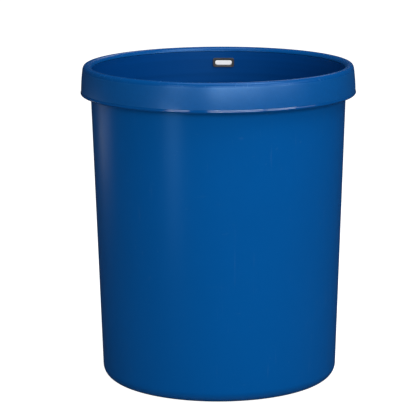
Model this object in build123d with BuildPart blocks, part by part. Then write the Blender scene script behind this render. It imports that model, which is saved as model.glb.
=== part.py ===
from build123d import *
import os
from math import cos, radians, sin, tan

# Round tapered office wastebasket: a moulded basket, a rim ring that pushes down over
# its top edge to hide and hold a liner, and a small plain badge on the inside back wall.
# The origin is on the floor under the basket's axis, +Z is up, and the badge is at +Y.

# ---- Driving dimensions, in millimetres and degrees ----

# Basket
overall_height = 340.0  # floor to the top of the rim ring
base_radius = 126.5  # outer wall carried straight down to the floor
wall_taper = 1.75  # lean of the wall, wider at the top
shell_wall = 2.2
floor_wall = 2.4
base_corner_radius = 12.9  # outside, between the wall and the foot ring
foot_width = 5.0  # flat band that the basket stands on
foot_height = 3.0  # how far the floor is raised inside the foot ring
foot_ramp = 3.6  # sloping step from the foot ring up to the raised floor
step_radius = 62.0  # stiffening step in the middle of the floor
step_height = 1.6
step_ramp = 2.4
gate_radius = 4.0  # moulding gate stub under the middle of the floor
gate_length = 1.2
bend_round = 2.0  # bends in the raised floor
edge_round = 0.6  # top edge, flare and foot edge

# Rim ring
rim_depth = 31.0  # top of the rim down to the lower edge of its skirt
lip_wall = 1.8  # inner lip, which lies flush with the basket's inside
lip_width = 5.4  # inner half of the rounded top
lip_height = 4.4
shoulder_width = 4.65  # outer half of the rounded top
shoulder_height = 5.9
shoulder_fullness = 0.68  # how far its bend is pulled to the corner, 0.55 for an ellipse
crown_wall = 2.4  # rounded top, above the basket edge that it rests on
skirt_wall = 2.0
skirt_draft = 4.0  # mean lean of the skirt, wider at the bottom
skirt_bow = 3.2  # how much more the skirt leans at its top, and less at its foot
bead_radius = 1.8  # round bead along the skirt's lower edge
bead_proud = 0.5  # bead beyond the skirt's outer face
rib_count = 24
rib_wall = 1.5
rib_end_gap = 5.0  # ribs stop this far above the skirt's lower edge

# Badge
badge_width = 23.6
badge_height = 10.2
badge_corner = 2.2
badge_drop = 12.6  # centre of the badge below the ring's inner lip
badge_plate_wall = 0.9
badge_pad_wall = 0.4
badge_pad_margin = 0.8  # the pad is hidden this far inside the plate's outline

# Fits
ring_fit = 0.35  # ring to basket, all round
lip_seat_gap = 0.4  # under the lip, down to the ledge of its rebate
rebate_web = 3.0  # basket wall left under the ledge


def wall_radius(height):
    """Outer radius of the tapered basket wall at a height above the floor."""
    return base_radius + height * tan(radians(wall_taper))


def inner_radius(height):
    """Inner radius of the tapered basket wall at a height above the floor."""
    return wall_radius(height) - shell_wall


# ---- Heights and radii that follow from the driving dimensions ----

seat_height = overall_height - crown_wall
lip_bottom = overall_height - lip_height
rebate_bottom = lip_bottom - lip_seat_gap
rebate_step = lip_wall + ring_fit
flare_bottom = rebate_bottom - rebate_web
flare_top = flare_bottom + rebate_step

foot_outer_radius = base_radius - base_corner_radius * tan(radians((90 - wall_taper) / 2))
foot_inner_radius = foot_outer_radius - foot_width
floor_inner_radius = foot_inner_radius + floor_wall / 2
step_inner_radius = step_radius + floor_wall / 2
floor_top = foot_height + floor_wall
step_bottom = foot_height + step_height
step_top = step_bottom + floor_wall

lip_radius = inner_radius(lip_bottom)
lip_outer_radius = lip_radius + lip_wall
crest_radius = lip_radius + lip_width
skirt_top_radius = crest_radius + shoulder_width
shoulder_bottom = overall_height - shoulder_height
bead_height = overall_height - rim_depth + bead_radius
rib_radius = wall_radius(seat_height) + rebate_step + ring_fit
rib_bottom = overall_height - rim_depth + rib_end_gap
rib_top = seat_height + crown_wall / 2


def skirt_radius(height):
    """Outer radius of the skirt at a height above the floor."""
    return skirt_top_radius + (shoulder_bottom - height) * tan(radians(skirt_draft))


skirt_top = Vector(skirt_top_radius, shoulder_bottom)
skirt_foot = Vector(skirt_radius(bead_height), bead_height)
skirt_top_lean = radians(skirt_draft + skirt_bow)
skirt_direction = Vector(sin(skirt_top_lean), -cos(skirt_top_lean))

badge_center = lip_bottom - badge_drop
badge_band_bottom = badge_center - badge_height
badge_band_top = badge_center + badge_height
plate_back = badge_pad_wall
plate_front = plate_back + badge_plate_wall

os.makedirs("parts", exist_ok=True)

# ---- Basket: tapered wall, rounded base corner, foot ring and stepped floor ----

with BuildPart() as basket_shell:
    with BuildSketch(Plane.XZ):
        with BuildLine():
            FilletPolyline(
                (0, step_bottom),
                (step_radius - step_ramp, step_bottom),
                (step_radius, foot_height),
                (foot_inner_radius - foot_ramp, foot_height),
                (foot_inner_radius, 0),
                (base_radius, 0),
                (wall_radius(flare_bottom), flare_bottom),
                (wall_radius(flare_top) + rebate_step, flare_top),
                (wall_radius(seat_height) + rebate_step, seat_height),
                (inner_radius(seat_height) + rebate_step, seat_height),
                (inner_radius(rebate_bottom) + rebate_step, rebate_bottom),
                (inner_radius(rebate_bottom), rebate_bottom),
                (inner_radius(floor_wall), floor_wall),
                (floor_inner_radius, floor_wall),
                (floor_inner_radius - foot_ramp, floor_top),
                (step_inner_radius, floor_top),
                (step_inner_radius - step_ramp, step_top),
                (0, step_top),
                radius=[
                    *[bend_round] * 3,
                    edge_round,
                    base_corner_radius,
                    *[edge_round] * 4,
                    0,
                    edge_round / 2,
                    base_corner_radius - shell_wall,
                    *[bend_round] * 4,
                ],
            )
            Line((0, step_top), (0, step_bottom))
        make_face()
    revolve(axis=Axis.Z)
    with BuildSketch(Plane.XY.offset(step_bottom - gate_length)):
        Circle(gate_radius)
    extrude(amount=gate_length)

basket_shell.part.label = "basket_shell"
export_step(basket_shell.part, "parts/basket_shell.step")

# ---- Rim ring: rounded crown over the basket's edge, flared skirt, bead and ribs ----

with BuildPart() as rim_ring:
    with BuildSketch(Plane.XZ):
        with BuildLine():
            EllipticalCenterArc((crest_radius, lip_bottom), lip_width, lip_height, start_angle=90)
            Bezier(
                (crest_radius, overall_height),
                (crest_radius + shoulder_fullness * shoulder_width, overall_height),
                skirt_top - skirt_direction * shoulder_fullness * shoulder_height,
                skirt_top,
            )
            TangentArc(skirt_top, skirt_foot, tangent=skirt_direction)
            Polyline(
                skirt_foot,
                (skirt_foot.X - skirt_wall, bead_height),
                (skirt_top_radius - skirt_wall, shoulder_bottom),
            )
            EllipticalCenterArc(
                (crest_radius, shoulder_bottom),
                shoulder_width - skirt_wall,
                seat_height - shoulder_bottom,
            )
            Polyline(
                (crest_radius, seat_height),
                (lip_outer_radius, seat_height),
                (lip_outer_radius, lip_bottom),
                (lip_radius, lip_bottom),
            )
        make_face()
        with Locations((skirt_foot.X + bead_proud - bead_radius, bead_height)):
            Circle(bead_radius)
    revolve(axis=Axis.Z)
    rib_planes = [Plane.XZ.rotated((0, 0, 360 * rib / rib_count)) for rib in range(rib_count)]
    with BuildSketch(*rib_planes):
        with BuildLine():
            EllipticalCenterArc(
                (crest_radius, shoulder_bottom),
                shoulder_width - skirt_wall / 2,
                rib_top - shoulder_bottom,
            )
            Polyline(
                (crest_radius, rib_top),
                (lip_outer_radius, rib_top),
                (lip_outer_radius, rib_bottom),
                (skirt_radius(rib_bottom) - skirt_wall / 2, rib_bottom),
                (skirt_top_radius - skirt_wall / 2, shoulder_bottom),
            )
        make_face()
        with Locations((rib_radius, rib_bottom)):
            Rectangle(
                rib_radius,
                overall_height,
                align=(Align.MAX, Align.CENTER),
                mode=Mode.SUBTRACT,
            )
    extrude(amount=rib_wall / 2, both=True)

rim_ring.part.label = "rim_ring"
export_step(rim_ring.part, "parts/rim_ring.step")

# ---- Badge: adhesive pad on the wall, and the plate on the pad ----

with BuildPart() as badge_pad:
    with BuildSketch(Plane.XZ):
        with BuildLine():
            Polyline(
                (inner_radius(badge_band_bottom), badge_band_bottom),
                (inner_radius(badge_band_top), badge_band_top),
                (inner_radius(badge_band_top) - badge_pad_wall, badge_band_top),
                (inner_radius(badge_band_bottom) - badge_pad_wall, badge_band_bottom),
                close=True,
            )
        make_face()
    revolve(axis=Axis.Z)
    with BuildSketch(Plane.XZ.offset(-wall_radius(badge_center))):
        with Locations((0, badge_center)):
            RectangleRounded(
                badge_width - 2 * badge_pad_margin,
                badge_height - 2 * badge_pad_margin,
                badge_corner - badge_pad_margin,
            )
    extrude(amount=wall_radius(badge_center), mode=Mode.INTERSECT)

badge_pad.part.label = "badge_pad"
export_step(badge_pad.part, "parts/badge_pad.step")

with BuildPart() as badge_plate:
    with BuildSketch(Plane.XZ):
        with BuildLine():
            Polyline(
                (inner_radius(badge_band_bottom) - plate_back, badge_band_bottom),
                (inner_radius(badge_band_top) - plate_back, badge_band_top),
                (inner_radius(badge_band_top) - plate_front, badge_band_top),
                (inner_radius(badge_band_bottom) - plate_front, badge_band_bottom),
                close=True,
            )
        make_face()
    revolve(axis=Axis.Z)
    with BuildSketch(Plane.XZ.offset(-wall_radius(badge_center))):
        with Locations((0, badge_center)):
            RectangleRounded(badge_width, badge_height, badge_corner)
    extrude(amount=wall_radius(badge_center), mode=Mode.INTERSECT)

badge_plate.part.label = "badge_plate"
export_step(badge_plate.part, "parts/badge_plate.step")
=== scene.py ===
"""Office wastebasket: a moulded basket, a lift-off rim ring and a small plain badge."""

import logging
import math
from dataclasses import dataclass, field, replace
from enum import Enum

import bmesh
import bpy
from mathutils import Euler, Matrix, Vector


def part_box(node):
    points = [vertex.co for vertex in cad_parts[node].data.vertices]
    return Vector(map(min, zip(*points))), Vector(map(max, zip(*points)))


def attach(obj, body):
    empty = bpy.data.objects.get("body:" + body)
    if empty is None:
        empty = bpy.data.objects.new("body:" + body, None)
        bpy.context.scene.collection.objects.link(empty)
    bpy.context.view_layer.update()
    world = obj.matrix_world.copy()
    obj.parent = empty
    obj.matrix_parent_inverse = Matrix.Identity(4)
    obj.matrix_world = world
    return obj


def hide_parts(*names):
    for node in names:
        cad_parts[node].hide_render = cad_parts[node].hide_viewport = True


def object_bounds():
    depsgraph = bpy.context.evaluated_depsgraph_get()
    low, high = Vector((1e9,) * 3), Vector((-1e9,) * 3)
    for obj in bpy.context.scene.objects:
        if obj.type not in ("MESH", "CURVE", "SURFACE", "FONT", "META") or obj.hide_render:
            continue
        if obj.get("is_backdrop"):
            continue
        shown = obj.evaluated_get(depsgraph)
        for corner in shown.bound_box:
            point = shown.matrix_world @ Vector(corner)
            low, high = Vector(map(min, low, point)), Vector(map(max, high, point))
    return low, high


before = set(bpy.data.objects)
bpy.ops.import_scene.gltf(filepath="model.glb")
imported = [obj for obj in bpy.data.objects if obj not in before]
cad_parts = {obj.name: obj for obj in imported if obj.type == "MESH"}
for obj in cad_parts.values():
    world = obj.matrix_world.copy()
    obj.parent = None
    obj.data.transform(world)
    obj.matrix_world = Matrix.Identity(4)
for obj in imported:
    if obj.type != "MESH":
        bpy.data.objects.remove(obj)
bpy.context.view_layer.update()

Socket = bpy.types.NodeSocket
Dressed = tuple[Socket, Socket, Socket]  # roughness, colour and normal
Shade = tuple[float, float, float]  # red, green and blue, linear

MM = 0.001  # one millimetre in metres
NO_LENGTH = 1e-9  # metres, below which two points are one
ROUND_CHORD = 7.0  # degrees of a round that one chord spans
SHARP_EDGE = 40.0  # degrees between faces that makes an edge sharp
MESH_RUN = 9 * MM  # longest run in the basket's mesh
RING_RUN = 3 * MM  # longest run in the ring's mesh
WHITE = (1.0, 1.0, 1.0, 1.0)
log = logging.getLogger("wastebasket")


def widest_radius(node: str) -> float:
    """Distance of a CAD node's outermost point from the axis, in metres."""
    return max(vertex.co.xy.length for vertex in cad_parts[node].data.vertices)


# ---- Lathe outlines ----


class Surface(Enum):
    """How the mould and the tool leave a stretch of the moulding."""

    SATIN = "satin outer wall"
    TURNED = "inside wall with turning marks"
    UNDERSIDE = "base and floor"
    CROWN = "smooth rounded top"
    BEAD = "polished bead"
    GRAINED = "spark-eroded skirt"
    HIDDEN = "inside of the rim ring"


@dataclass(frozen=True)
class Corner:
    """One corner of a lathe outline, in metres.

    Args:
        radius: distance from the basket's axis.
        height: height above the floor.
        rounding: radius of the round in this corner, or 0 for a sharp one.
        surface: the surface that runs on from this corner to the next.
    """

    radius: float
    height: float
    rounding: float = 0.0
    surface: Surface = Surface.SATIN

    @property
    def place(self) -> Vector:
        """The corner as a flat vector of radius and height."""
        return Vector((self.radius, self.height))


def ellipse_run(
    centre: tuple[float, float],
    half_width: float,
    half_height: float,
    start: float,
    end: float,
    surface: Surface,
    steps: int = 14,
) -> list[Corner]:
    """Points along part of an ellipse.

    Args:
        centre: radius and height of the ellipse's centre.
        half_width: half axis along the radius.
        half_height: half axis along the height.
        start: first angle in degrees, 0 pointing outwards and 90 up.
        end: last angle in degrees.
        surface: the surface of the stretch.
        steps: number of chords.

    Returns:
        The points in order, without rounding of their own.
    """
    angles = [math.radians(start + (end - start) * step / steps) for step in range(steps + 1)]
    return [
        Corner(
            centre[0] + half_width * math.cos(angle),
            centre[1] + half_height * math.sin(angle),
            surface=surface,
        )
        for angle in angles
    ]


def bend_between(
    first: Vector,
    first_handle: Vector,
    last_handle: Vector,
    last: Vector,
    surface: Surface,
    steps: int = 16,
) -> list[Corner]:
    """Points along a smooth bend between two ends, pulled towards two handles.

    Args:
        first: where the bend starts, as radius and height.
        first_handle: the point that it heads for as it starts.
        last_handle: the point that it comes from as it ends.
        last: where the bend ends.
        surface: the surface of the stretch.
        steps: number of chords.

    Returns:
        The points in order, without rounding of their own.
    """
    points: list[Corner] = []
    for step in range(steps + 1):
        done = step / steps
        left = 1 - done
        place = (
            first * left**3
            + first_handle * 3 * done * left**2
            + last_handle * 3 * done**2 * left
            + last * done**3
        )
        points.append(Corner(place.x, place.y, surface=surface))
    return points


def crossing(first: Vector, reach: float, second: Vector, second_reach: float) -> Vector:
    """Finds the upper one of the two points at given distances from two centres.

    Args:
        first: the first centre, as radius and height.
        reach: distance from the first centre.
        second: the second centre.
        second_reach: distance from the second centre.

    Returns:
        The point, as radius and height.
    """
    along = second - first
    gap = along.length
    share = (reach**2 - second_reach**2 + gap**2) / (2 * gap)
    side = math.sqrt(reach**2 - share**2)
    across = Vector((-along.y, along.x)).normalized()
    if across.y < 0:
        across = -across
    return first + along.normalized() * share + across * side


def round_corner(before: Vector, corner: Corner, after: Vector) -> list[Corner]:
    """Replaces one corner by points along its round.

    Args:
        before: the corner before it.
        corner: the corner to round.
        after: the corner after it.

    Returns:
        The points of the round in order, or the corner alone if it is sharp.
    """
    if corner.rounding <= 0:
        return [corner]
    to_before = (before - corner.place).normalized()
    to_after = (after - corner.place).normalized()
    half = to_before.angle(to_after) / 2
    centre = corner.place + (to_before + to_after).normalized() * (corner.rounding / math.sin(half))
    reach = corner.rounding / math.tan(half)
    first = corner.place + to_before * reach - centre
    last = corner.place + to_after * reach - centre
    start = math.atan2(first.y, first.x)
    turn = math.remainder(math.atan2(last.y, last.x) - start, math.tau)
    steps = max(3, math.ceil(abs(math.degrees(turn)) / ROUND_CHORD))
    return [
        Corner(
            centre.x + corner.rounding * math.cos(start + turn * step / steps),
            centre.y + corner.rounding * math.sin(start + turn * step / steps),
            surface=corner.surface,
        )
        for step in range(steps + 1)
    ]


def divide(corners: list[Corner], longest: float) -> list[Corner]:
    """Adds points on runs that are too long for an even mesh.

    Args:
        corners: the points of an outline.
        longest: the longest run that may stay, in metres.

    Returns:
        The outline's points with the new ones between them.
    """
    points: list[Corner] = []
    for here, after in zip(corners, corners[1:]):
        parts = max(1, math.ceil((after.place - here.place).length / longest))
        for part in range(parts):
            place = here.place.lerp(after.place, part / parts)
            points.append(Corner(place.x, place.y, surface=here.surface))
    points.append(corners[-1])
    return points


def trace(corners: list[Corner], longest: float) -> list[Corner]:
    """Rounds an open outline's corners and divides its long runs.

    Args:
        corners: the corners from one end to the other.
        longest: the longest run that may stay, in metres.

    Returns:
        The points in order, from end to end.
    """
    points = [corners[0]]
    for before, corner, after in zip(corners, corners[1:], corners[2:]):
        points += round_corner(before.place, corner, after.place)
    points.append(corners[-1])
    return divide(points, longest)


# ---- Mesh making ----


def finish_mesh(
    name: str, mesh_data: bmesh.types.BMesh, materials: list[bpy.types.Material]
) -> bpy.types.Object:
    """Turns mesh data into a smooth object with its materials.

    Args:
        name: the piece's name.
        mesh_data: the finished faces. It is freed here.
        materials: materials in the order of the faces' indices.

    Returns:
        The new object, linked to the scene.
    """
    bmesh.ops.recalc_face_normals(mesh_data, faces=mesh_data.faces)
    mesh = bpy.data.meshes.new(name)
    mesh_data.to_mesh(mesh)
    mesh_data.free()
    for material in materials:
        mesh.materials.append(material)
    mesh.shade_smooth()
    mesh.set_sharp_from_angle(angle=math.radians(SHARP_EDGE))
    piece = bpy.data.objects.new(name, mesh)
    bpy.context.scene.collection.objects.link(piece)
    even = piece.modifiers.new("even_normals", "WEIGHTED_NORMAL")
    even.keep_sharp = True
    log.info("%s: %d faces", name, len(mesh.polygons))
    return piece


@dataclass(frozen=True)
class Column:
    """One radial slice of a lathe mesh.

    Args:
        angle: direction of the slice in radians.
        ribbed: whether the slice follows the ribbed outline.
    """

    angle: float
    ribbed: bool = False


class Lathe:
    """Turns an outline round the axis, with or without ribs that differ from it."""

    def __init__(self, plain: list[Corner], ribbed: list[Corner], closed: bool) -> None:
        """Keeps the outlines.

        Args:
            plain: the outline between ribs.
            ribbed: the outline through a rib, with the same number of points.
            closed: whether the outline's last point joins its first.
        """
        self.plain = plain
        self.ribbed = ribbed
        self.closed = closed
        self.data = bmesh.new()
        self.made: dict[tuple, bmesh.types.BMVert] = {}

    def vertex(self, row: int, column: Column) -> bmesh.types.BMVert:
        """The vertex of one outline point in one slice, made once and shared.

        Args:
            row: number of the outline point.
            column: the slice.

        Returns:
            The vertex. Slices share it on the axis, and where the rib is flush.
        """
        plain, ribbed = self.plain[row], self.ribbed[row]
        point = ribbed if column.ribbed else plain
        differs = (plain.place - ribbed.place).length > NO_LENGTH
        on_axis = point.radius < NO_LENGTH
        key = (row, None if on_axis else column.angle, column.ribbed and differs)
        if key not in self.made:
            across = (math.cos(column.angle), math.sin(column.angle))
            place = (point.radius * across[0], point.radius * across[1], point.height)
            self.made[key] = self.data.verts.new(place)
        return self.made[key]

    def turn(self, columns: list[Column], order: list[Surface]) -> bmesh.types.BMesh:
        """Makes the faces between each slice and the next.

        Args:
            columns: the slices in order round the axis.
            order: the surfaces in the order of the piece's materials.

        Returns:
            The mesh data.
        """
        rows = len(self.plain)
        for here, after in zip(columns, columns[1:] + columns[:1]):
            for row in range(rows if self.closed else rows - 1):
                above = (row + 1) % rows
                ring = [
                    self.vertex(row, here),
                    self.vertex(row, after),
                    self.vertex(above, after),
                    self.vertex(above, here),
                ]
                corners = list(dict.fromkeys(ring))
                if len(corners) > 2:
                    face = self.data.faces.new(corners)
                    source = self.ribbed if here.ribbed or after.ribbed else self.plain
                    face.material_index = order.index(source[row].surface)
        return self.data


# ---- Shader building ----


class Board:
    """Adds and joins the nodes of one tree."""

    noise_roughness = 0.55

    def __init__(self, tree: bpy.types.NodeTree) -> None:
        """Starts on an empty tree."""
        self.tree = tree
        tree.nodes.clear()

    def add(self, kind: str, inputs: dict | None = None, **settings: object) -> bpy.types.Node:
        """Adds one node.

        Args:
            kind: the node's type name.
            inputs: socket name or number to a plain value or to a socket to join.
            settings: the node's own properties.

        Returns:
            The new node.
        """
        node = self.tree.nodes.new(kind)
        for name, value in settings.items():
            setattr(node, name, value)
        for name, value in (inputs or {}).items():
            if isinstance(value, Socket):
                self.tree.links.new(value, node.inputs[name])
            else:
                node.inputs[name].default_value = value
        return node

    def maths(self, operation: str, *values: object, clamp: bool = False) -> Socket:
        """Adds a Math node.

        Args:
            operation: what it works out.
            values: plain values or sockets, in the order of the node's inputs.
            clamp: whether the result is kept between 0 and 1.

        Returns:
            The result.
        """
        inputs = dict(enumerate(values))
        node = self.add("ShaderNodeMath", inputs, operation=operation, use_clamp=clamp)
        return node.outputs[0]

    def shade(self, colour: Socket, factor: Socket) -> Socket:
        """Brightens or darkens a colour by a factor."""
        inputs = {"Color": colour, "Value": factor}
        return self.add("ShaderNodeHueSaturation", inputs).outputs["Color"]

    def spread(self, value: Socket, low: float, high: float) -> Socket:
        """Maps a mask from 0..1 to low..high."""
        inputs = {"Value": value, "To Min": low, "To Max": high}
        return self.add("ShaderNodeMapRange", inputs).outputs["Result"]

    def noise(self, vector: object, scale: float, detail: float = 2.0) -> Socket:
        """Adds a noise.

        Args:
            vector: the place, plain or stretched.
            scale: how many cells it has for each unit of the place.
            detail: how many finer layers it has.

        Returns:
            Its value, about 0.5 on average.
        """
        inputs = {
            "Vector": vector,
            "Scale": scale,
            "Detail": detail,
            "Roughness": self.noise_roughness,
        }
        return self.add("ShaderNodeTexNoise", inputs).outputs["Fac"]

    def stretch(self, vector: object, scale: tuple[float, float, float]) -> Socket:
        """Scales a place along each axis."""
        inputs = {"Vector": vector, "Scale": scale}
        return self.add("ShaderNodeMapping", inputs).outputs["Vector"]


@dataclass(frozen=True)
class Port:
    """One socket of a shared effect.

    Args:
        name: the socket's name.
        kind: Float, Vector or Color.
        default: the plain value it starts with, for an input.
    """

    name: str
    kind: str
    default: object = None


class Effect:
    """A shader effect that several finishes share, built once as a node group."""

    name = "effect"
    takes: tuple[Port, ...] = ()
    gives: tuple[Port, ...] = ()

    def group(self) -> bpy.types.NodeTree:
        """Finds the effect's node group, or builds it on first use.

        Returns:
            The group.
        """
        found = bpy.data.node_groups.get(self.name)
        if found:
            return found
        tree = bpy.data.node_groups.new(self.name, "ShaderNodeTree")
        for way, ports in (("INPUT", self.takes), ("OUTPUT", self.gives)):
            for port in ports:
                socket = tree.interface.new_socket(
                    port.name, in_out=way, socket_type="NodeSocket" + port.kind
                )
                if port.default is not None:
                    socket.default_value = port.default
        board = Board(tree)
        entry = board.add("NodeGroupInput")
        results = self.wire(board, entry)
        board.add("NodeGroupOutput", results)
        return tree

    def wire(self, board: Board, entry: bpy.types.Node) -> dict[str, Socket]:
        """Builds the effect inside its group.

        Args:
            board: the group's tree.
            entry: the node that gives the group's inputs.

        Returns:
            A socket for each of the group's outputs.
        """
        raise NotImplementedError

    def place(self, board: Board, **values: object) -> bpy.types.Node:
        """Places the effect in a material.

        Args:
            board: the material's tree.
            values: a plain value or a socket to join, for each input by its name.

        Returns:
            The group's node.
        """
        node = board.add("ShaderNodeGroup", node_tree=self.group())
        for name, value in values.items():
            socket = node.inputs[name.replace("_", " ").title()]
            if isinstance(value, Socket):
                board.tree.links.new(value, socket)
            else:
                socket.default_value = value
        return node


class PigmentFlow(Effect):
    """Slow drifts of shade where the coloured melt flowed and met."""

    name = "pigment_flow"
    takes = (
        Port("Place", "Vector"),
        Port("Colour", "Color", (0.5, 0.5, 0.5, 1.0)),
        Port("Drift", "Float", 0.06),
    )
    gives = (Port("Colour", "Color"),)
    broad_scale = 9.0
    fine_scale = 70.0
    fine_share = 0.4
    fine_shape = (1.0, 1.0, 0.35)
    average = 0.7

    def wire(self, board: Board, entry: bpy.types.Node) -> dict[str, Socket]:
        """Brightens and darkens the colour by a broad and a fine noise.

        Args:
            board: the group's tree.
            entry: the node that gives the group's inputs.

        Returns:
            The drifting colour.
        """
        place = entry.outputs["Place"]
        broad = board.noise(place, self.broad_scale, detail=3.0)
        fine = board.noise(board.stretch(place, self.fine_shape), self.fine_scale, detail=4.0)
        both = board.maths("MULTIPLY_ADD", fine, self.fine_share, broad)
        centred = board.maths("SUBTRACT", both, self.average)
        change = board.maths("MULTIPLY_ADD", centred, entry.outputs["Drift"], 1.0)
        return {"Colour": board.shade(entry.outputs["Colour"], change)}


class Grain(Effect):
    """Fine pits and pimples copied from a spark-eroded mould."""

    name = "spark_grain"
    takes = (Port("Place", "Vector"), Port("Density", "Float", 1400.0))
    gives = (Port("Height", "Float"), Port("Mottle", "Float"))
    pit_softness = 0.6
    pit_share = 0.6
    mottle_scale = 330.0

    def wire(self, board: Board, entry: bpy.types.Node) -> dict[str, Socket]:
        """Mixes a fine cell pattern with two noises.

        Args:
            board: the group's tree.
            entry: the node that gives the group's inputs.

        Returns:
            The relief and the mottle.
        """
        place, density = entry.outputs["Place"], entry.outputs["Density"]
        cell_inputs = {"Vector": place, "Scale": density, "Smoothness": self.pit_softness}
        cells = board.add("ShaderNodeTexVoronoi", cell_inputs, feature="SMOOTH_F1")
        half = board.maths("MULTIPLY", density, 0.5)
        coarse = board.add(
            "ShaderNodeTexNoise", {"Vector": place, "Scale": half, "Detail": 3.0}
        ).outputs["Fac"]
        height = board.maths("MULTIPLY_ADD", cells.outputs["Distance"], self.pit_share, coarse)
        mottle = board.noise(place, self.mottle_scale, detail=3.0)
        return {"Height": height, "Mottle": mottle}


class TurningMarks(Effect):
    """Fine level rings left by turning the mould's core."""

    name = "turning_marks"
    takes = (Port("Place", "Vector"), Port("Rings", "Float", 520.0))
    gives = (Port("Height", "Float"), Port("Streak", "Float"))
    round_the_wall = (0.012, 0.012, 1.0)
    ring_scale = 2.4
    streak_scale = 0.32

    def wire(self, board: Board, entry: bpy.types.Node) -> dict[str, Socket]:
        """Uses noise that is squeezed along the height and long round the wall.

        Args:
            board: the group's tree.
            entry: the node that gives the group's inputs.

        Returns:
            The relief and the streaks.
        """
        level = board.stretch(entry.outputs["Place"], self.round_the_wall)
        scaled = board.add(
            "ShaderNodeVectorMath",
            {0: level, "Scale": entry.outputs["Rings"]},
            operation="SCALE",
        ).outputs[0]
        fine = board.noise(scaled, self.ring_scale, detail=3.0)
        bands = board.noise(scaled, self.streak_scale, detail=2.0)
        return {"Height": fine, "Streak": bands}


class Scuffs(Effect):
    """Sparse hairline marks from handling."""

    name = "handling_scuffs"
    takes = (Port("Place", "Vector"), Port("Rarity", "Float", 0.68))
    gives = (Port("Mask", "Float"),)
    ways = ((0.5, (1.0, 1.0, 0.05)), (-0.9, (0.08, 1.0, 0.6)))  # turn and stretch of each set
    tilt = 0.4
    line_scale = 420.0
    full = 0.8  # noise at which a mark is whole
    patch_scale = 16.0
    patch_range = (-0.6, 1.4)

    def wire(self, board: Board, entry: bpy.types.Node) -> dict[str, Socket]:
        """Crosses two stretched noises, each kept only where it peaks.

        Args:
            board: the group's tree.
            entry: the node that gives the group's inputs.

        Returns:
            The mask, 1 in the middle of a mark.
        """
        place, marks = entry.outputs["Place"], []
        for turn, shape in self.ways:
            rotation = (turn, self.tilt * turn, turn)
            inputs = {"Vector": place, "Rotation": rotation, "Scale": shape}
            turned = board.add("ShaderNodeMapping", inputs).outputs["Vector"]
            line = board.noise(turned, self.line_scale, detail=1.0)
            ends = {"Value": line, "From Min": entry.outputs["Rarity"], "From Max": self.full}
            marks.append(board.add("ShaderNodeMapRange", ends).outputs["Result"])
        patches = board.spread(board.noise(place, self.patch_scale), *self.patch_range)
        total = board.maths("MAXIMUM", *marks)
        return {"Mask": board.maths("MULTIPLY", total, patches, clamp=True)}


class FloorRub(Effect):
    """Dulling along the foot where the basket has slid on floors."""

    name = "floor_rub"
    takes = (Port("Place", "Vector"), Port("Reach", "Float", 0.012))
    gives = (Port("Mask", "Float"),)
    break_scale = 180.0
    break_range = (-0.4, 1.5)

    def wire(self, board: Board, entry: bpy.types.Node) -> dict[str, Socket]:
        """Fades upwards from the floor, broken by noise.

        Args:
            board: the group's tree.
            entry: the node that gives the group's inputs.

        Returns:
            The mask, 1 at the floor.
        """
        place = entry.outputs["Place"]
        height = board.add("ShaderNodeSeparateXYZ", {0: place}).outputs["Z"]
        share = board.maths("DIVIDE", height, entry.outputs["Reach"])
        fade = board.maths("SUBTRACT", 1.0, share, clamp=True)
        broken = board.spread(board.noise(place, self.break_scale, detail=4.0), *self.break_range)
        return {"Mask": board.maths("MULTIPLY", fade, broken, clamp=True)}


# ---- Finishes, with the scales of their noises per metre ----


@dataclass(frozen=True)
class Finish:
    """A material's plain facts: colour, gloss and how the light leaves it.

    Args:
        name: the material's name.
        colour: red, green and blue, linear.
        rough: lowest and highest roughness.
        drift: how much the pigment drifts in shade.
        specular: strength of the clear reflection.
        tint: colour of the clear reflection seen face on.
        ior: index of refraction of the plastic.
    """

    name: str
    colour: Shade
    rough: tuple[float, float]
    drift: float = 0.08
    specular: float = 0.5
    tint: Shade = (1.0, 1.0, 1.0)
    ior: float = 1.49

    def make(self) -> bpy.types.Material:
        """Builds the material: base shader, colour drift, roughness and bump.

        Returns:
            The new material.
        """
        material = bpy.data.materials.new(self.name)
        material.use_nodes = True
        board = Board(material.node_tree)
        place = board.add("ShaderNodeTexCoord").outputs["Object"]
        flow = PigmentFlow().place(board, place=place, colour=(*self.colour, 1.0), drift=self.drift)
        roughness, colour, normal = self.dress(board, place, flow.outputs["Colour"])
        shader = board.add(
            "ShaderNodeBsdfPrincipled",
            {
                "Base Color": colour,
                "Roughness": roughness,
                "Normal": normal,
                "IOR": self.ior,
                "Specular IOR Level": self.specular,
                "Specular Tint": (*self.tint, 1.0),
            },
        )
        board.add("ShaderNodeOutputMaterial", {"Surface": shader.outputs[0]})
        return material

    def bump(self, board: Board, height: Socket, depth: float) -> Socket:
        """Adds a bump of a given depth in metres, and returns its normal."""
        inputs = {"Height": height, "Distance": depth, "Strength": 1.0}
        return board.add("ShaderNodeBump", inputs).outputs["Normal"]

    def dress(self, board: Board, place: Socket, colour: Socket) -> Dressed:
        """Adds what this finish has of its own.

        Args:
            board: the material's tree.
            place: where on the piece.
            colour: the drifting colour.

        Returns:
            Sockets for roughness, colour and normal.
        """
        raise NotImplementedError

    def lighten(
        self, board: Board, colour: Socket, mask: Socket, pale: Shade, share: float
    ) -> Socket:
        """Mixes a paler colour in by a share of a mask.

        Args:
            board: the material's tree.
            colour: the colour that is paled.
            mask: where, from 0 to 1.
            pale: the paler colour.
            share: how much of it where the mask is 1.

        Returns:
            The mixed colour.
        """
        amount = board.maths("MULTIPLY", mask, share)
        inputs = {0: amount, 6: colour, 7: (*pale, 1.0)}
        return board.add("ShaderNodeMix", inputs, data_type="RGBA").outputs[2]


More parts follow.
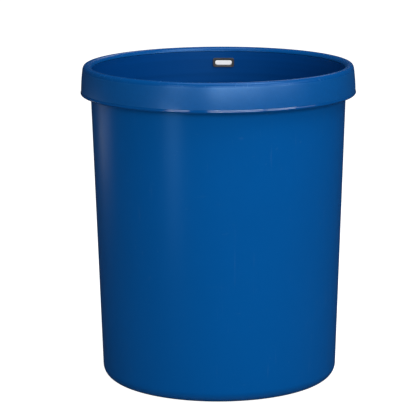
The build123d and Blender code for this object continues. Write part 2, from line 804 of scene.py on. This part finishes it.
@dataclass(frozen=True)
class SatinWall(Finish):
    """The basket's outer wall: satin, with a slight orange peel and rare scuffs."""

    pale: Shade = (0.10, 0.20, 0.36)  # colour of the worn marks
    peel_scale: float = 150.0
    draw_scale: float = 900.0
    draw_shape: tuple[float, float, float] = (1.0, 1.0, 0.02)
    draw_share: float = 0.12
    cloud_scale: float = 55.0
    scuff_rarity: float = 0.7
    rub_reach: float = 10 * MM
    wear_dulls: float = 0.16
    wear_pales: float = 0.14
    depth: float = 0.02 * MM

    def dress(self, board: Board, place: Socket, colour: Socket) -> Dressed:
        """Adds peel, draw lines, scuffs and the rub along the foot.

        Args:
            board: the material's tree.
            place: where on the piece.
            colour: the drifting colour.

        Returns:
            Sockets for roughness, colour and normal.
        """
        peel = board.noise(place, self.peel_scale, detail=2.0)
        drawn = board.noise(board.stretch(place, self.draw_shape), self.draw_scale, detail=1.0)
        height = board.maths("MULTIPLY_ADD", drawn, self.draw_share, peel)
        scuffs = Scuffs().place(board, place=place, rarity=self.scuff_rarity).outputs["Mask"]
        rub = FloorRub().place(board, place=place, reach=self.rub_reach).outputs["Mask"]
        worn = board.maths("MAXIMUM", scuffs, rub)
        base = board.spread(board.noise(place, self.cloud_scale, detail=3.0), *self.rough)
        roughness = board.maths("MULTIPLY_ADD", worn, self.wear_dulls, base)
        paled = self.lighten(board, colour, worn, self.pale, self.wear_pales)
        return roughness, paled, self.bump(board, height, self.depth)


@dataclass(frozen=True)
class TurnedWall(Finish):
    """The basket's inside: fine level rings and faint bands of gloss."""

    rings: float = 520.0
    banding: float = 0.2
    depth: float = 0.03 * MM

    def dress(self, board: Board, place: Socket, colour: Socket) -> Dressed:
        """Adds the turning marks to the relief, the gloss and the colour.

        Args:
            board: the material's tree.
            place: where on the piece.
            colour: the drifting colour.

        Returns:
            Sockets for roughness, colour and normal.
        """
        marks = TurningMarks().place(board, place=place, rings=self.rings)
        streak = marks.outputs["Streak"]
        roughness = board.spread(streak, *self.rough)
        factor = board.spread(streak, 1.0 - self.banding, 1.0 + self.banding)
        banded = board.shade(colour, factor)
        return roughness, banded, self.bump(board, marks.outputs["Height"], self.depth)


@dataclass(frozen=True)
class GrainedSkin(Finish):
    """Spark-eroded grain, as on the ring's skirt."""

    depth: float = 0.05 * MM
    density: float = 1400.0
    mottle: float = 0.16

    def dress(self, board: Board, place: Socket, colour: Socket) -> Dressed:
        """Adds the grain to the relief, and its mottle to gloss and colour.

        Args:
            board: the material's tree.
            place: where on the piece.
            colour: the drifting colour.

        Returns:
            Sockets for roughness, colour and normal.
        """
        grain = Grain().place(board, place=place, density=self.density)
        mottle = grain.outputs["Mottle"]
        roughness = board.spread(mottle, *self.rough)
        factor = board.spread(mottle, 1.0 - self.mottle, 1.0 + self.mottle)
        shaded = board.shade(colour, factor)
        return roughness, shaded, self.bump(board, grain.outputs["Height"], self.depth)


@dataclass(frozen=True)
class PolishedRound(Finish):
    """Smooth moulded rounds, polished in the mould, with handling scuffs."""

    pale: Shade = (0.14, 0.24, 0.42)  # colour of the worn marks
    wave_scale: float = 90.0
    cloud_scale: float = 60.0
    scuff_rarity: float = 0.66
    wear_dulls: float = 0.2
    wear_pales: float = 0.12
    depth: float = 0.03 * MM

    def dress(self, board: Board, place: Socket, colour: Socket) -> Dressed:
        """Adds a soft waviness and scuffs that dull the gloss.

        Args:
            board: the material's tree.
            place: where on the piece.
            colour: the drifting colour.

        Returns:
            Sockets for roughness, colour and normal.
        """
        waves = board.noise(place, self.wave_scale, detail=2.0)
        scuffs = Scuffs().place(board, place=place, rarity=self.scuff_rarity).outputs["Mask"]
        base = board.spread(board.noise(place, self.cloud_scale, detail=3.0), *self.rough)
        roughness = board.maths("MULTIPLY_ADD", scuffs, self.wear_dulls, base)
        paled = self.lighten(board, colour, scuffs, self.pale, self.wear_pales)
        return roughness, paled, self.bump(board, waves, self.depth)


BLUE_SHEEN = (0.20, 0.55, 1.0)
PALE_SHEEN = (0.34, 0.62, 1.0)
SATIN_WALL = SatinWall(
    "satin_blue", (0.0, 0.066, 0.250), (0.26, 0.32), specular=0.2, tint=BLUE_SHEEN
)
# Painted shade: the inside wall's colour is darker than the outer wall's, though both are one
# moulding, standing in for the shade that falls inside the basket.
SHADED_TURNED_WALL = TurnedWall(
    "turned_blue_painted_shade", (0.0, 0.038, 0.175), (0.28, 0.40), specular=0.25, tint=BLUE_SHEEN
)
BASE_SKIN = GrainedSkin(
    "base_blue",
    (0.0, 0.064, 0.245),
    (0.40, 0.52),
    specular=0.25,
    tint=BLUE_SHEEN,
    depth=0.03 * MM,
    mottle=0.08,
)
SKIRT_SKIN = GrainedSkin(
    "skirt_blue", (0.0, 0.066, 0.245), (0.27, 0.35), specular=0.95, tint=PALE_SHEEN
)
CROWN_SKIN = PolishedRound(
    "crown_blue", (0.0, 0.058, 0.225), (0.22, 0.30), specular=0.45, tint=PALE_SHEEN
)
BEAD_SKIN = PolishedRound("bead_blue", (0.0, 0.053, 0.205), (0.05, 0.09), specular=1.0)
HIDDEN_SKIN = GrainedSkin(
    "rib_blue", (0.0, 0.050, 0.192), (0.42, 0.5), specular=0.25, depth=0.02 * MM, mottle=0.06
)
BADGE_DARK = GrainedSkin(
    "badge_dark", (0.022, 0.022, 0.024), (0.30, 0.42), depth=0.01 * MM, density=2600.0
)
BADGE_PALE = GrainedSkin(
    "badge_pale", (0.78, 0.79, 0.80), (0.32, 0.42), depth=0.01 * MM, density=2600.0, mottle=0.05
)
FOAM_PAD = GrainedSkin("pad_foam", (0.05, 0.05, 0.052), (0.8, 0.92), depth=0.08 * MM, mottle=0.2)


# ---- Basket ----


@dataclass
class Basket:
    """The moulded basket: tapered wall, rounded base corner, foot ring and floor."""

    wall: float = 2.2 * MM
    taper: float = math.radians(1.75)
    floor_wall: float = 2.4 * MM
    base_corner: float = 12.9 * MM
    foot_width: float = 5.0 * MM
    foot_height: float = 3.0 * MM
    foot_ramp: float = 3.6 * MM
    step_radius: float = 62.0 * MM
    step_height: float = 1.6 * MM
    step_ramp: float = 2.4 * MM
    gate_radius: float = 4.0 * MM
    gate_length: float = 1.2 * MM
    bend: float = 2.0 * MM
    edge: float = 0.6 * MM
    rebate_step: float = 2.15 * MM  # how far the flare and the rebate step outwards
    rebate_drop: float = 2.4 * MM  # basket's top edge down to the ledge
    rebate_web: float = 3.0 * MM  # wall between the ledge and the flare
    rebate_round: float = 0.15 * MM
    columns: int = 360
    top_radius: float = field(init=False)
    top: float = field(init=False)

    def __post_init__(self) -> None:
        """Reads the mouth's size from the CAD basket shell."""
        self.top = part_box("basket_shell")[1].z
        self.top_radius = widest_radius("basket_shell") - self.rebate_step

    def outer(self, height: float) -> float:
        """Outer radius of the tapered wall at a height."""
        return self.top_radius - (self.top - height) * math.tan(self.taper)

    def inner(self, height: float) -> float:
        """Inner radius of the tapered wall at a height."""
        return self.outer(height) - self.wall

    def outline(self) -> list[Corner]:
        """The whole section, from under the floor's middle round to its top.

        Returns:
            The corners in order, open at the axis.
        """
        foot_outer = self.outer(0) - self.base_corner * math.tan(math.pi / 4 - self.taper / 2)
        foot_inner = foot_outer - self.foot_width
        ledge = self.top - self.rebate_drop
        flare = ledge - self.rebate_web
        flare_top = flare + self.rebate_step
        step_low = self.foot_height + self.step_height
        step_inner = self.step_radius + self.floor_wall / 2
        floor_inner = foot_inner + self.floor_wall / 2
        floor_top = self.foot_height + self.floor_wall
        under, out, inside = Surface.UNDERSIDE, Surface.SATIN, Surface.TURNED
        gate_low = step_low - self.gate_length
        inner_round = self.base_corner - self.wall
        return [
            Corner(0, gate_low, surface=under),
            Corner(self.gate_radius, gate_low, self.edge / 2, under),
            Corner(self.gate_radius, step_low, self.edge / 2, under),
            Corner(self.step_radius - self.step_ramp, step_low, self.bend, under),
            Corner(self.step_radius, self.foot_height, self.bend, under),
            Corner(foot_inner - self.foot_ramp, self.foot_height, self.bend, under),
            Corner(foot_inner, 0, self.edge, under),
            Corner(self.outer(0), 0, self.base_corner, out),
            Corner(self.outer(flare), flare, self.edge, out),
            Corner(self.outer(flare_top) + self.rebate_step, flare_top, self.edge, out),
            Corner(self.outer(self.top) + self.rebate_step, self.top, self.edge, out),
            Corner(self.inner(self.top) + self.rebate_step, self.top, self.edge, out),
            Corner(self.inner(ledge) + self.rebate_step, ledge, self.rebate_round, out),
            Corner(self.inner(ledge), ledge, self.edge / 2, inside),
            Corner(self.inner(self.floor_wall), self.floor_wall, inner_round, inside),
            Corner(floor_inner, self.floor_wall, self.bend, under),
            Corner(floor_inner - self.foot_ramp, floor_top, self.bend, under),
            Corner(step_inner, floor_top, self.bend, under),
            Corner(step_inner - self.step_ramp, step_low + self.floor_wall, self.bend, under),
            Corner(0, step_low + self.floor_wall, surface=under),
        ]

    def build(self) -> bpy.types.Object:
        """Turns the basket and dresses it.

        Returns:
            The piece, riding on the basket body.
        """
        finishes = {
            Surface.SATIN: SATIN_WALL,
            Surface.TURNED: SHADED_TURNED_WALL,
            Surface.UNDERSIDE: BASE_SKIN,
        }
        points = trace(self.outline(), MESH_RUN)
        columns = [Column(math.tau * turn / self.columns) for turn in range(self.columns)]
        data = Lathe(points, points, closed=False).turn(columns, list(finishes))
        materials = [finish.make() for finish in finishes.values()]
        piece = finish_mesh("moulded_basket", data, materials)
        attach(piece, "basket")
        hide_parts("basket_shell")
        return piece


# ---- Rim ring ----


@dataclass
class RimRing:
    """The lift-off ring: rounded crown, grained skirt, polished bead and ribs."""

    lip_wall: float = 1.8 * MM
    lip_width: float = 5.4 * MM
    lip_height: float = 4.4 * MM
    shoulder_width: float = 4.65 * MM
    shoulder_height: float = 5.9 * MM
    shoulder_fullness: float = 0.68  # how far its bend is pulled to the corner
    smooth_shoulder: float = 4.2 * MM  # top of the ring down to the grain
    skirt_wall: float = 2.0 * MM
    skirt_draft: float = math.radians(4.0)  # mean lean of the skirt
    skirt_turn: float = math.radians(3.2)  # how much more it leans at its top
    bead: float = 1.8 * MM
    bead_proud: float = 0.5 * MM  # beyond the skirt's outer face
    bead_end: float = -245.0  # degrees round the bead where the outline leaves it
    cove: float = 2.5 * MM  # hollow between the skirt and the bead
    lip_edge: float = 0.4 * MM
    lip_start: float = 178.0  # degrees round the top where it leaves the lip's edge
    ribs: int = 24
    rib_wall: float = 1.5 * MM
    rib_gap: float = 5.0 * MM  # ring's lower edge up to the ribs
    rib_clearance: float = 0.35 * MM
    columns_per_rib: int = 13
    top: float = field(init=False)
    bottom: float = field(init=False)
    widest: float = field(init=False)
    seat: float = field(init=False)
    rib_radius: float = field(init=False)

    def __post_init__(self) -> None:
        """Reads the ring's place and the edge that it rests on from the CAD parts."""
        low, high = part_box("rim_ring")
        self.top, self.bottom = high.z, low.z
        self.widest = widest_radius("rim_ring")
        self.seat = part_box("basket_shell")[1].z
        self.rib_radius = widest_radius("basket_shell") + self.rib_clearance

    def outlines(self) -> tuple[list[Corner], list[Corner]]:
        """The ring's section between ribs, and the same points through a rib.

        Returns:
            The plain outline and the ribbed one, both closed.
        """
        shoulder = self.top - self.shoulder_height
        bead_height = self.bottom + self.bead
        skirt_foot = self.widest - self.bead_proud
        lean = math.tan(self.skirt_draft)
        skirt_top = skirt_foot - (shoulder - bead_height) * lean
        crest = skirt_top - self.shoulder_width
        lip = crest - self.lip_width
        lip_bottom = self.top - self.lip_height
        crown, hidden = Surface.CROWN, Surface.HIDDEN

        skirt = self.skirt_points(Vector((skirt_top, shoulder)), Vector((skirt_foot, bead_height)))
        rib_low = self.bottom + self.rib_gap
        skirt_inner = skirt_foot - self.skirt_wall
        rib_foot = skirt_inner - (rib_low - bead_height) * lean
        lead = [
            Corner(lip, lip_bottom, self.lip_edge, crown),
            *ellipse_run(
                (crest, lip_bottom), self.lip_width, self.lip_height, self.lip_start, 90, crown
            ),
            *skirt[1:],
        ]
        channel = [
            Corner(rib_foot, rib_low, surface=hidden),
            Corner(skirt_top - self.skirt_wall, shoulder, surface=hidden),
            *ellipse_run(
                (crest, shoulder),
                self.shoulder_width - self.skirt_wall,
                self.seat - shoulder,
                0,
                90,
                hidden,
                steps=8,
            )[1:],
            Corner(self.rib_radius, self.seat, surface=hidden),
        ]
        tail = [
            Corner(lip + self.lip_wall, self.seat, surface=hidden),
            Corner(lip + self.lip_wall, lip_bottom, self.lip_edge, hidden),
        ]
        lead_points = self.round_open(lead, tail[-1])
        channel_points = divide(channel, RING_RUN)
        tail_points = self.round_tail(tail, lead[0])
        rib = self.rib_points(len(channel_points), rib_foot, rib_low)
        plain = lead_points + channel_points + tail_points
        return plain, lead_points + rib + tail_points

    def skirt_points(self, head: Vector, foot: Vector) -> list[Corner]:
        """The outside from the crest over the shoulder, down the skirt and round the bead.

        Args:
            head: top of the skirt, as radius and height.
            foot: where the skirt's line meets the middle of the bead.

        Returns:
            The points in order, with the grained stretch marked.
        """
        crown, grain, polish = Surface.CROWN, Surface.GRAINED, Surface.BEAD
        steep = self.skirt_draft + self.skirt_turn
        crest = Vector((head.x - self.shoulder_width, self.top))
        pull = self.shoulder_fullness
        shoulder = bend_between(
            crest,
            crest + Vector((pull * self.shoulder_width, 0)),
            head + Vector((-math.sin(steep), math.cos(steep))) * pull * self.shoulder_height,
            head,
            crown,
        )
        bow = (head - foot).length / (2 * math.sin(self.skirt_turn))
        bow_centre = head - Vector((math.cos(steep), math.sin(steep))) * bow
        bead_centre = Vector((self.widest - self.bead, foot.y))
        cove = self.cove
        cove_centre = crossing(bow_centre, bow + cove, bead_centre, self.bead + cove)
        to_skirt = (cove_centre - bow_centre).normalized()
        to_bead = (cove_centre - bead_centre).normalized()
        skirt_end = math.degrees(math.atan2(to_skirt.y, to_skirt.x))
        bead_start = math.degrees(math.atan2(to_bead.y, to_bead.x))
        side = ellipse_run(
            tuple(bow_centre), bow, bow, math.degrees(steep), skirt_end, grain, steps=10
        )
        blend = ellipse_run(
            tuple(cove_centre), cove, cove, 180 + skirt_end, 180 + bead_start, polish, steps=6
        )
        bead = ellipse_run(
            tuple(bead_centre), self.bead, self.bead, bead_start, self.bead_end, polish, steps=30
        )
        grain_top = self.top - self.smooth_shoulder
        shoulder = [
            replace(point, surface=grain if point.height < grain_top else crown)
            for point in shoulder
        ]
        return [*shoulder[:-1], *side[:-1], *blend[:-1], *bead]

    def round_open(self, lead: list[Corner], before: Corner) -> list[Corner]:
        """Rounds the outline from the lip to the bead, and divides its long runs.

        Args:
            lead: the corners from the lip's lower edge to the end of the bead.
            before: the corner before the first of them.

        Returns:
            The points in order.
        """
        closed = [before, *lead]
        points: list[Corner] = []
        for previous, corner, after in zip(closed, closed[1:], closed[2:]):
            points += round_corner(previous.place, corner, after.place)
        points.append(lead[-1])
        return divide(points, RING_RUN)

    def round_tail(self, tail: list[Corner], after: Corner) -> list[Corner]:
        """Rounds the lip's hidden side."""
        return [tail[0], *round_corner(tail[0].place, tail[1], after.place)]

    def rib_points(self, count: int, rib_foot: float, rib_low: float) -> list[Corner]:
        """Points along a rib's foot and inner edge, one for each of the channel's.

        Args:
            count: how many points the channel has.
            rib_foot: radius where the rib leaves the skirt.
            rib_low: height of the rib's lower end.

        Returns:
            The rib's points, whose first and last are the channel's too.
        """
        foot_steps = max(1, count // 6)
        edge_steps = count - 1 - foot_steps
        depth, length = self.rib_radius - rib_foot, self.seat - rib_low
        hidden = Surface.HIDDEN
        foot = [
            Corner(rib_foot + depth * step / foot_steps, rib_low, surface=hidden)
            for step in range(foot_steps)
        ]
        edge = [
            Corner(self.rib_radius, rib_low + length * step / edge_steps, surface=hidden)
            for step in range(edge_steps + 1)
        ]
        return foot + edge

    def slices(self) -> list[Column]:
        """Radial slices: two pairs at each rib's faces and even ones between ribs.

        Returns:
            The slices in order round the axis.
        """
        half = self.rib_wall / 2 / self.rib_radius
        pitch = math.tau / self.ribs
        gap = pitch - 2 * half
        columns: list[Column] = []
        for rib in range(self.ribs):
            middle = rib * pitch
            columns += [Column(middle - half), Column(middle - half, True)]
            columns += [Column(middle + half, True), Column(middle + half)]
            steps = self.columns_per_rib
            columns += [Column(middle + half + gap * step / steps) for step in range(1, steps)]
        return columns

    def build(self) -> bpy.types.Object:
        """Turns the ring and dresses it.

        Returns:
            The piece, riding on the ring body.
        """
        finishes = {
            Surface.CROWN: CROWN_SKIN,
            Surface.GRAINED: SKIRT_SKIN,
            Surface.BEAD: BEAD_SKIN,
            Surface.HIDDEN: HIDDEN_SKIN,
        }
        plain, ribbed = self.outlines()
        data = Lathe(plain, ribbed, closed=True).turn(self.slices(), list(finishes))
        materials = [finish.make() for finish in finishes.values()]
        piece = finish_mesh("grip_ring", data, materials)
        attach(piece, "ring")
        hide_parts("rim_ring")
        return piece


# ---- Badge ----


@dataclass(frozen=True)
class Contour:
    """A rounded rectangle on the wall, at a depth in front of it.

    Args:
        half_width: half its width.
        half_height: half its height.
        corner: radius of its corners.
        depth: distance in front of the wall.
        pale: whether the surface from here inwards is the pale bar.
    """

    half_width: float
    half_height: float
    corner: float
    depth: float
    pale: bool = False

    def points(self, per_corner: int) -> list[tuple[float, float]]:
        """Places along it.

        Args:
            per_corner: number of chords in each corner's round.

        Returns:
            Offsets across and up from its middle, in order round it.
        """
        places: list[tuple[float, float]] = []
        corner = min(self.corner, self.half_width, self.half_height)
        for quarter in range(4):
            sign_x = 1 if quarter in (0, 3) else -1
            sign_z = 1 if quarter in (0, 1) else -1
            middle = (sign_x * (self.half_width - corner), sign_z * (self.half_height - corner))
            for step in range(per_corner + 1):
                angle = math.radians(90 * quarter + 90 * step / per_corner)
                places.append(
                    (middle[0] + corner * math.cos(angle), middle[1] + corner * math.sin(angle))
                )
        return places


@dataclass
class Badge:
    """The small badge on the inside back wall: adhesive pad, dark plate and plain bar."""

    pad_wall: float = 0.4 * MM
    plate_wall: float = 0.9 * MM
    corner: float = 2.2 * MM
    pad_corner: float = 1.4 * MM
    bevel: float = 0.25 * MM
    border: float = 0.7 * MM
    recess: float = 0.12 * MM  # border down to the field
    bar_width: float = 18.4 * MM
    bar_height: float = 4.8 * MM
    bar_relief: float = 0.1 * MM
    bar_fullness: float = 0.98  # round of its ends, as a share of half its height
    bar_crown: tuple[float, float] = (0.9, 0.4)  # its innermost contour, as shares of it
    back_inset: float = 0.5 * MM
    back_break: float = 0.05 * MM
    pad_inset: float = 0.1 * MM  # how far the pad's two faces draw in
    least_corner: float = 0.2 * MM
    per_corner: int = 10

    def laid(self, name: str, contours: list[Contour], basket: Basket) -> bmesh.types.BMesh:
        """Lays contours on the inside wall and joins each to the next.

        Args:
            name: the CAD node whose place they take.
            contours: the contours from the wall outwards and then inwards.
            basket: the basket, for the wall's radius.

        Returns:
            The mesh data, closed at the back and at the middle of the front.
        """
        low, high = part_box(name)
        middle = (low + high) / 2
        data = bmesh.new()
        rings: list[list[bmesh.types.BMVert]] = []
        for contour in contours:
            ring = []
            for across, up in contour.points(self.per_corner):
                height = middle.z + up
                radius = basket.inner(height) - contour.depth
                x = middle.x + across
                ring.append(data.verts.new((x, math.sqrt(radius**2 - x**2), height)))
            rings.append(ring)
        for contour, ring, inner in zip(contours, rings, rings[1:]):
            for index in range(len(ring)):
                after = (index + 1) % len(ring)
                face = data.faces.new((ring[index], ring[after], inner[after], inner[index]))
                face.material_index = int(contour.pale)
        for ring, contour in ((rings[0], contours[0]), (rings[-1], contours[-1])):
            radius = basket.inner(middle.z) - contour.depth
            hub = data.verts.new((middle.x, math.sqrt(radius**2 - middle.x**2), middle.z))
            for index in range(len(ring)):
                face = data.faces.new((ring[index], ring[(index + 1) % len(ring)], hub))
                face.material_index = int(contour.pale)
        return data

    def plate_contours(self, half_width: float, half_height: float) -> list[Contour]:
        """The plate's back, edge, raised border, field and pale bar.

        Args:
            half_width: half the plate's width.
            half_height: half its height.

        Returns:
            The contours from the plate's back to the middle of its front.
        """
        back, front = self.pad_wall, self.pad_wall + self.plate_wall
        field_depth = front - self.recess
        bar_depth = field_depth + self.bar_relief
        bevel, border = self.bevel, self.border
        bar_x, bar_z = self.bar_width / 2, self.bar_height / 2
        bar_corner = bar_z * self.bar_fullness
        crown_x, crown_z = self.bar_crown
        rise = self.bar_relief

        def inset(by: float, depth: float) -> Contour:
            """The plate's outline moved inwards."""
            corner = max(self.corner - by, self.least_corner)
            return Contour(half_width - by, half_height - by, corner, depth)

        return [
            inset(self.back_inset, back),
            inset(self.back_break, back),
            inset(0, back + self.back_break),
            inset(0, front - bevel),
            inset(bevel * 0.3, front - bevel * 0.3),
            inset(bevel, front),
            inset(border, front),
            inset(border + self.recess, field_depth),
            inset(border + 3 * self.recess, field_depth),
            Contour(bar_x + rise, bar_z + rise, bar_corner, field_depth, True),
            Contour(bar_x, bar_z, bar_corner, bar_depth, True),
            Contour(bar_x * crown_x, bar_z * crown_z, bar_corner * crown_z, bar_depth, True),
        ]

    def build(self, basket: Basket) -> list[bpy.types.Object]:
        """Makes the pad and the plate.

        Args:
            basket: the basket whose wall they are on.

        Returns:
            Both pieces, riding on the basket body.
        """
        pad_low, pad_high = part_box("badge_pad")
        pad_x, pad_z = (pad_high.x - pad_low.x) / 2, (pad_high.z - pad_low.z) / 2
        pad = [
            Contour(pad_x - by, pad_z - by, self.pad_corner, share * self.pad_wall)
            for by, share in ((self.pad_inset, 0), (0, 0.25), (0, 0.75), (self.pad_inset, 1))
        ]
        low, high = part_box("badge_plate")
        plate = self.plate_contours((high.x - low.x) / 2, (high.z - low.z) / 2)
        pieces = [
            finish_mesh("badge_foam", self.laid("badge_pad", pad, basket), [FOAM_PAD.make()]),
            finish_mesh(
                "badge_face",
                self.laid("badge_plate", plate, basket),
                [BADGE_DARK.make(), BADGE_PALE.make()],
            ),
        ]
        for piece, node, slot in zip(
            pieces, ("badge_pad", "badge_plate"), ("badge_adhesive", "badge_plastic")
        ):
            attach(piece, "basket")
            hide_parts(node)
        return pieces


# ---- Studio ----


@dataclass(frozen=True)
class Softbox:
    """One square or oblong soft light aimed at the basket.

    Args:
        name: the light's name.
        azimuth: degrees from the front, -Y, towards the right, +X.
        elevation: degrees above the level of the basket's middle, or negative below it.
        distance: metres from the basket's middle.
        size: width and height in metres.
        power: watts.
    """

    name: str
    azimuth: float
    elevation: float
    distance: float
    size: tuple[float, float]
    power: float

    def hang(self, target: Vector) -> bpy.types.Object:
        """Makes the light and turns it towards the target.

        Args:
            target: the place that it is aimed at.

        Returns:
            The light, linked to the scene.
        """
        light = bpy.data.lights.new(self.name, "AREA")
        light.shape = "RECTANGLE"
        light.size, light.size_y = self.size
        light.energy = self.power
        lamp = bpy.data.objects.new(self.name, light)
        turn, lift = math.radians(self.azimuth), math.radians(self.elevation)
        back = Vector(
            (math.sin(turn) * math.cos(lift), -math.cos(turn) * math.cos(lift), math.sin(lift))
        )
        lamp.location = target + back * self.distance
        lamp.rotation_euler = back.to_track_quat("Z", "Y").to_euler()
        lamp.visible_camera = False
        bpy.context.scene.collection.objects.link(lamp)
        return lamp


@dataclass
class Studio:
    """Pale floor, soft lights and the camera.

    Args:
        floor_size: side of the square floor in metres.
        floor_shade: how much light the floor throws back on the basket.
        floor_glow: how bright the floor is to the eye.
        camera_distance: metres from the axis to the camera, level.
        camera_height: metres above the floor.
        camera_turn: degrees from the front, -Y, towards the right, +X.
        camera_aim: degrees that the camera looks to the left of the axis.
        camera_pitch: degrees that it looks down.
        camera_roll: degrees that it leans to the left.
        camera_lens: focal length in millimetres.
        camera_rise: upward shift of the lens, as a share of the picture's width.
        softboxes: the lights.
        fill: strength of the even light all round.
        dark_room: how bright the room is in reflections.
    """

    floor_size: float = 30.0
    floor_shade: float = 0.35
    floor_glow: float = 1.0
    camera_distance: float = 2.326
    camera_height: float = 0.659
    camera_turn: float = 2.6
    camera_aim: float = 0.292
    camera_pitch: float = 13.15
    camera_roll: float = -0.28
    camera_lens: float = 190.2
    camera_rise: float = 0.1468
    softboxes: tuple[Softbox, ...] = (
        Softbox("key_softbox", 50.0, 58.0, 2.2, (1.0, 0.9), 18.5),
        Softbox("overhead_softbox", 3.0, 85.0, 1.8, (1.2, 1.2), 11.0),
        Softbox("front_softbox", 17.0, 20.0, 2.1, (1.6, 0.75), 20.0),
        Softbox("right_softbox", 56.0, 22.0, 2.1, (0.9, 0.75), 9.0),
        Softbox("right_edge", 82.0, 28.0, 2.1, (0.6, 0.6), 0.8),
        Softbox("left_softbox", -30.0, 21.0, 2.1, (0.6, 0.75), 4.6),
        Softbox("left_edge", -118.0, -6.0, 1.3, (0.5, 0.06), 0.17),
        Softbox("left_stand", -36.0, -5.3, 1.2, (0.22, 0.06), 0.9),
        Softbox("front_spot", 3.0, 9.0, 2.9, (0.12, 0.12), 2.8),
        Softbox("back_softbox", 172.0, 35.0, 2.0, (0.6, 0.3), 1.2),
    )
    fill: float = 0.3
    dark_room: float = 0.02

    def build(self) -> None:
        """Lays the floor, hangs the lights and sets the camera."""
        self.lay_floor()
        self.light_surround()
        low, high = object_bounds()
        for softbox in self.softboxes:
            softbox.hang((low + high) / 2)
        self.set_camera()

    def lay_floor(self) -> None:
        """Makes the plain pale floor."""
        data = bmesh.new()
        bmesh.ops.create_grid(data, x_segments=1, y_segments=1, size=self.floor_size / 2)
        mesh = bpy.data.meshes.new("studio_floor")
        data.to_mesh(mesh)
        data.free()
        material = bpy.data.materials.new("pale_floor")
        material.use_nodes = True
        board = Board(material.node_tree)
        seen = board.add("ShaderNodeLightPath").outputs["Is Camera Ray"]
        shader = board.add(
            "ShaderNodeBsdfPrincipled",
            {
                "Base Color": (*[self.floor_shade] * 3, 1.0),
                "Roughness": 0.9,
                "Specular IOR Level": 0.1,
                "Emission Color": WHITE,
                "Emission Strength": board.maths("MULTIPLY", seen, self.floor_glow),
            },
        )
        board.add("ShaderNodeOutputMaterial", {"Surface": shader.outputs[0]})
        mesh.materials.append(material)
        floor = bpy.data.objects.new("studio_floor", mesh)
        floor.visible_glossy = False
        bpy.context.scene.collection.objects.link(floor)
        floor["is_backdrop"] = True

    def light_surround(self) -> None:
        """Fills the room with an even glow: white to the eye, dim in reflections."""
        scene = bpy.context.scene
        scene.world = bpy.data.worlds.new("studio")
        scene.world.use_nodes = True
        board = Board(scene.world.node_tree)
        path = board.add("ShaderNodeLightPath").outputs
        lit = board.maths("MULTIPLY_ADD", path["Is Diffuse Ray"], self.fill, path["Is Camera Ray"])
        glow = board.maths("MULTIPLY_ADD", path["Is Glossy Ray"], self.dark_room, lit)
        sky = board.add("ShaderNodeBackground", {"Color": WHITE, "Strength": glow})
        board.add("ShaderNodeOutputWorld", {"Surface": sky.outputs[0]})
        scene.view_settings.view_transform = "Standard"

    def set_camera(self) -> None:
        """Sets the camera in front of and above the basket."""
        camera = bpy.data.objects.new("camera", bpy.data.cameras.new("camera"))
        turn = math.radians(self.camera_turn)
        camera.location = (
            math.sin(turn) * self.camera_distance,
            -math.cos(turn) * self.camera_distance,
            self.camera_height,
        )
        aim = Euler(
            (math.radians(90 - self.camera_pitch), 0.0, turn + math.radians(self.camera_aim))
        )
        roll = Matrix.Rotation(math.radians(self.camera_roll), 3, "Z")
        camera.rotation_euler = (aim.to_matrix() @ roll).to_euler()
        camera.data.lens = self.camera_lens
        camera.data.shift_y = self.camera_rise
        bpy.context.scene.collection.objects.link(camera)
        bpy.context.scene.camera = camera


def main() -> None:
    """Builds the basket, its ring, its badge and the studio, in that order."""
    logging.basicConfig(level=logging.INFO, format="%(name)s: %(message)s")
    basket = Basket()
    for piece in (basket.build(), RimRing().build(), *Badge().build(basket)):
        log.info("built %s", piece.name)
    Studio().build()


if __name__ == "__main__":
    main()
